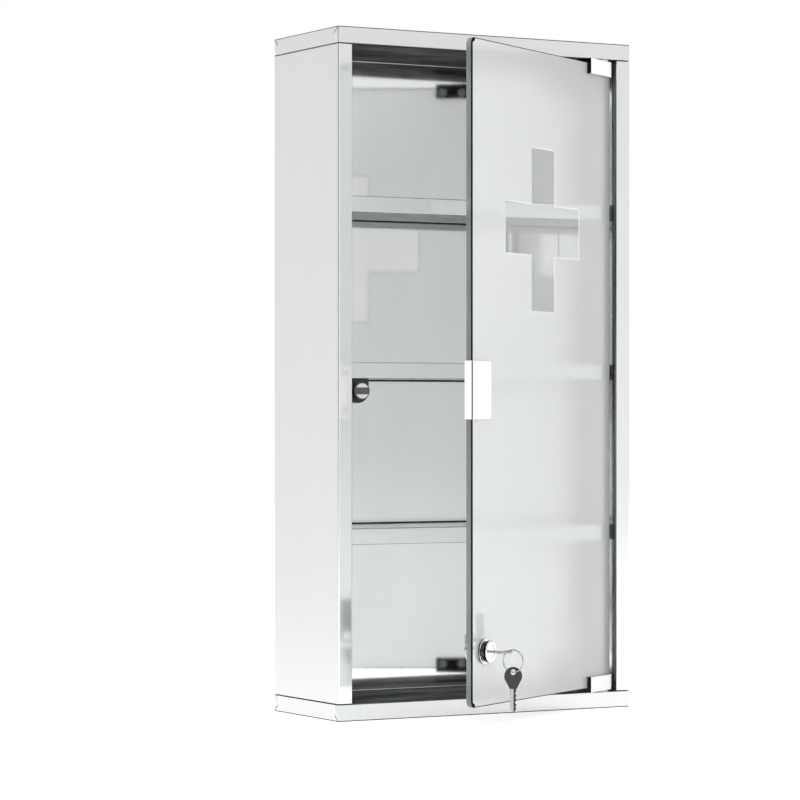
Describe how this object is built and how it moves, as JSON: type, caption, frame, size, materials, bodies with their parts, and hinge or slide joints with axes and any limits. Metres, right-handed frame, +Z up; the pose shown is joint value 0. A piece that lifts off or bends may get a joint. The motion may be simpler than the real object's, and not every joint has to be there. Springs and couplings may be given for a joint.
{
  "type": "lockable medicine cabinet",
  "caption": "Stainless wall cabinet with fixed shelves and a frosted glass door on pivot clips, with a magnet catch, a cam lock and keys.",
  "frame": {"origin": "centre of the cabinet's underside", "axes": "+X to the right seen from the front, +Y from the front to the wall, +Z up"},
  "size_m": [0.2986, 0.2713, 0.597],
  "materials": {
    "brushed_stainless": "fine vertical brush",
    "bright_stainless": "bright rolled",
    "polished_steel": "polished",
    "screw_steel": "zinc plated",
    "key_steel": "nickel plated",
    "chrome_plate": "mirror",
    "frosted_glass": "acid etched, with a clear cross and edges",
    "black_plastic": "moulded",
    "magnet_grey": "sintered ferrite",
    "nylon": "moulded",
    "grey_rubber": "cut sheet",
    "black_rubber": "cut sheet"
  },
  "bodies": {
    "cabinet": {"left_side_panel": "brushed_stainless", "right_side_panel": "brushed_stainless", "back_panel": "bright_stainless", "top_cap": "brushed_stainless", "bottom_cap": "brushed_stainless", "ceiling_panel": "bright_stainless", "floor_panel": "bright_stainless", "lower_shelf": "brushed_stainless", "middle_shelf": "brushed_stainless", "upper_shelf": "brushed_stainless", "left_shelf_rails": "brushed_stainless", "right_shelf_rails": "brushed_stainless", "catch_housing": "black_plastic", "catch_magnet": "magnet_grey", "catch_poles": "polished_steel", "catch_screws": "screw_steel", "pivot_bushes": "nylon"},
    "door": {"door_glass": "frosted_glass", "door_handle": "polished_steel", "handle_liner": "grey_rubber", "handle_screws": "screw_steel", "top_hinge_clip": "chrome_plate", "bottom_hinge_clip": "chrome_plate", "hinge_liners": "grey_rubber", "hinge_screws": "screw_steel", "pivot_pins": "screw_steel", "lock_body": "chrome_plate", "lock_washer": "black_rubber", "lock_nut": "chrome_plate"},
    "lock_plug": {"lock_plug": "polished_steel", "lock_cam": "screw_steel", "cam_screw": "screw_steel", "key_blade": "key_steel", "key_head": "black_plastic"},
    "key_ring": {"key_ring": "key_steel"},
    "spare_key": {"spare_key_blade": "key_steel", "spare_key_head": "black_plastic"}
  },
  "joints": [
    {"name": "door_hinge", "type": "hinge", "parent": "cabinet", "child": "door", "pos_m": [0.12325, -0.05455, 0.2985], "axis": [0, 0, 1], "range_deg": [-31.5, 78.5]},
    {"name": "lock_turn", "type": "hinge", "parent": "door", "child": "lock_plug", "pos_m": [-0.0753, -0.17916, 0.0656], "axis": [0.5225, -0.8526, 0], "range_deg": [0, 90]},
    {"name": "ring_swing", "type": "hinge", "parent": "lock_plug", "child": "key_ring", "pos_m": [-0.06089, -0.20267, 0.05848], "axis": [0.8526, 0.5225, 0], "range_deg": [-20, 20]},
    {"name": "spare_key_swing", "type": "hinge", "parent": "key_ring", "child": "spare_key", "pos_m": [-0.06089, -0.20267, 0.04918], "axis": [-0.2334, -0.9724, 0], "range_deg": [-30, 30]}
  ]
}
